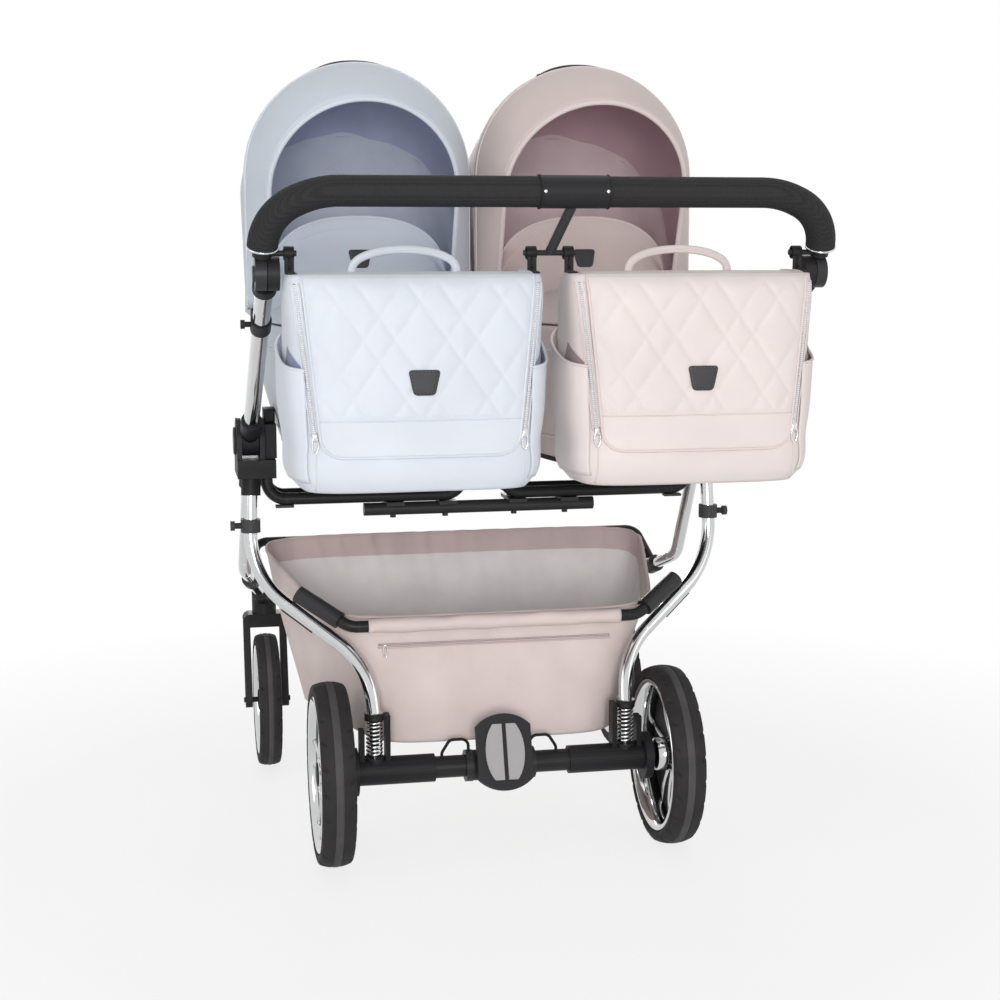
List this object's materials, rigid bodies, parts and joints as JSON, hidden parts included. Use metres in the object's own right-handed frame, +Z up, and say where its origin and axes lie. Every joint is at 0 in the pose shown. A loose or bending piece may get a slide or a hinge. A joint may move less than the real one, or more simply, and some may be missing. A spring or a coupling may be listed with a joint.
{
  "type": "twin pram",
  "caption": "Twin pram with side-by-side lift-off carrycots under folding hoods, hanging bags, a cloth basket, a tilting handlebar, a folding frame and swivel front wheels.",
  "frame": {"origin": "on the ground, under the middle of the pram's box", "axes": "+X to the pusher's right, +Y forward along the way it is pushed, +Z up"},
  "size_m": [0.8524, 1.1078, 1.2927],
  "materials": {
    "polished_tube": "mirror polished",
    "polished_rim": "mirror polished",
    "black_tube": "black powder coat",
    "black_plastic": "fine grain",
    "grey_plastic": "fine grain",
    "pin_steel": "satin",
    "spring_steel": "bright",
    "grip_pad": "matte",
    "tyre": "matte",
    "foam_grip": "fine dimpled",
    "blue_cloth": "smooth coated cloth",
    "pink_cloth": "smooth coated cloth",
    "basket_cloth": "woven",
    "white_cloth": "woven",
    "webbing": "woven webbing"
  },
  "bodies": {
    "chassis": {"hinge_left": "black_plastic", "hinge_right": "black_plastic", "hinge_pins": "pin_steel", "rear_leg_left": "polished_tube", "rear_leg_right": "polished_tube", "front_leg_left": "polished_tube", "front_leg_right": "polished_tube", "seat_carrier_left": "black_tube", "seat_carrier_right": "black_tube", "carrier_cross_tube": "black_tube", "cot_sockets": "black_plastic", "basket_rear_bar": "black_tube", "basket_front_bar": "black_tube", "basket": "basket_cloth", "swivel_head_left": "black_plastic", "swivel_head_right": "black_plastic", "frame_fittings": "grey_plastic"},
    "rear_axle_unit": {"rear_axle": "black_tube", "axle_carrier_left": "black_plastic", "axle_carrier_right": "black_plastic", "rear_springs": "spring_steel", "brake_cables": "grip_pad"},
    "pedal": {"brake_pedal": "black_plastic", "pedal_grips": "grip_pad"},
    "upper_frame": {"upright_left": "polished_tube", "upright_right": "polished_tube", "upright_knuckles": "black_plastic", "handle_joints": "black_plastic"},
    "handle": {"handlebar": "black_tube", "handle_grips": "foam_grip", "handle_sleeve": "black_plastic", "bag_hook": "black_plastic"},
    "rear_wheel_left": {"rear_tyre_left": "tyre", "rear_rim_left": "polished_rim"},
    "fork_left": {"front_fork_left": "black_plastic"},
    "front_wheel_left": {"front_tyre_left": "tyre", "front_rim_left": "polished_rim"},
    "release_left": {"fold_release_left": "black_plastic"},
    "button_left": {"angle_button_left": "grey_plastic"},
    "bag_unit_left": {"bag_left": "blue_cloth", "bag_straps_left": "webbing"},
    "cot_unit_left": {"cot_left": "blue_cloth", "mattress_left": "white_cloth", "apron_left": "blue_cloth", "hood_rear_left": "blue_cloth"},
    "hood_left": {"hood_front_left": "blue_cloth"},
    "rear_wheel_right": {"rear_tyre_right": "tyre", "rear_rim_right": "polished_rim"},
    "fork_right": {"front_fork_right": "black_plastic"},
    "front_wheel_right": {"front_tyre_right": "tyre", "front_rim_right": "polished_rim"},
    "release_right": {"fold_release_right": "black_plastic"},
    "button_right": {"angle_button_right": "grey_plastic"},
    "bag_unit_right": {"bag_right": "pink_cloth", "bag_straps_right": "webbing"},
    "cot_unit_right": {"cot_right": "pink_cloth", "mattress_right": "white_cloth", "apron_right": "pink_cloth", "hood_rear_right": "pink_cloth"},
    "hood_right": {"hood_front_right": "pink_cloth"}
  },
  "joints": [
    {"name": "rear_suspension", "type": "slide", "parent": "chassis", "child": "rear_axle_unit", "axis": [0, 0, 1], "range_m": [0, 0.012], "stiffness_N_per_m": 15000, "springref_m": -0.02, "deforming": ["rear_springs"]},
    {"name": "brake_press", "type": "hinge", "parent": "rear_axle_unit", "child": "pedal", "pos_m": [-0.004, -0.13312, 0.1485], "axis": [1, 0, 0], "range_deg": [-16, 0]},
    {"name": "frame_fold", "type": "hinge", "parent": "chassis", "child": "upper_frame", "pos_m": [0, 0.04188, 0.672], "axis": [-1, 0, 0], "range_deg": [0, 40]},
    {"name": "handle_tilt", "type": "hinge", "parent": "upper_frame", "child": "handle", "pos_m": [0, -0.45812, 0.957], "axis": [-1, 0, 0], "range_deg": [-10, 20]},
    {"name": "rear_wheel_spin_left", "type": "hinge", "parent": "rear_axle_unit", "child": "rear_wheel_left", "pos_m": [-0.281, -0.13312, 0.1485], "axis": [1, 0, 0], "continuous": true},
    {"name": "caster_swivel_left", "type": "hinge", "parent": "chassis", "child": "fork_left", "pos_m": [-0.347, 0.46788, 0.126], "axis": [0, 0, 1], "continuous": true},
    {"name": "front_wheel_spin_left", "type": "hinge", "parent": "fork_left", "child": "front_wheel_left", "pos_m": [-0.347, 0.42788, 0.126], "axis": [1, 0, 0], "continuous": true},
    {"name": "fold_release_slide_left", "type": "slide", "parent": "upper_frame", "child": "release_left", "axis": [0, -0.8688, 0.4952], "range_m": [0, 0.015], "stiffness_N_per_m": 300},
    {"name": "angle_button_press_left", "type": "slide", "parent": "handle", "child": "button_left", "axis": [1, 0, 0], "range_m": [0, 0.003], "stiffness_N_per_m": 600},
    {"name": "bag_swing_left", "type": "hinge", "parent": "handle", "child": "bag_unit_left", "pos_m": [-0.193, -0.46988, 0.98454], "axis": [-1, 0, 0], "range_deg": [-15, 35]},
    {"name": "cot_lift_left", "type": "slide", "parent": "chassis", "child": "cot_unit_left", "axis": [0, 0.5, 0.866], "range_m": [0, 0.6]},
    {"name": "hood_fold_left", "type": "hinge", "parent": "cot_unit_left", "child": "hood_left", "pos_m": [-0.195, 0.11688, 0.8703], "axis": [-1, 0, 0], "range_deg": [0, 40]},
    {"name": "rear_wheel_spin_right", "type": "hinge", "parent": "rear_axle_unit", "child": "rear_wheel_right", "pos_m": [0.281, -0.13312, 0.1485], "axis": [1, 0, 0], "continuous": true},
    {"name": "caster_swivel_right", "type": "hinge", "parent": "chassis", "child": "fork_right", "pos_m": [0.347, 0.46788, 0.126], "axis": [0, 0, 1], "continuous": true},
    {"name": "front_wheel_spin_right", "type": "hinge", "parent": "fork_right", "child": "front_wheel_right", "pos_m": [0.347, 0.42788, 0.126], "axis": [1, 0, 0], "continuous": true},
    {"name": "fold_release_slide_right", "type": "slide", "parent": "upper_frame", "child": "release_right", "axis": [0, -0.8688, 0.4952], "range_m": [0, 0.015], "stiffness_N_per_m": 300},
    {"name": "angle_button_press_right", "type": "slide", "parent": "handle", "child": "button_right", "axis": [-1, 0, 0], "range_m": [0, 0.003], "stiffness_N_per_m": 600},
    {"name": "bag_swing_right", "type": "hinge", "parent": "handle", "child": "bag_unit_right", "pos_m": [0.193, -0.46988, 0.98454], "axis": [-1, 0, 0], "range_deg": [-15, 35]},
    {"name": "cot_lift_right", "type": "slide", "parent": "chassis", "child": "cot_unit_right", "axis": [0, 0.5, 0.866], "range_m": [0, 0.6]},
    {"name": "hood_fold_right", "type": "hinge", "parent": "cot_unit_right", "child": "hood_right", "pos_m": [0.195, 0.11688, 0.8703], "axis": [-1, 0, 0], "range_deg": [0, 40]}
  ]
}
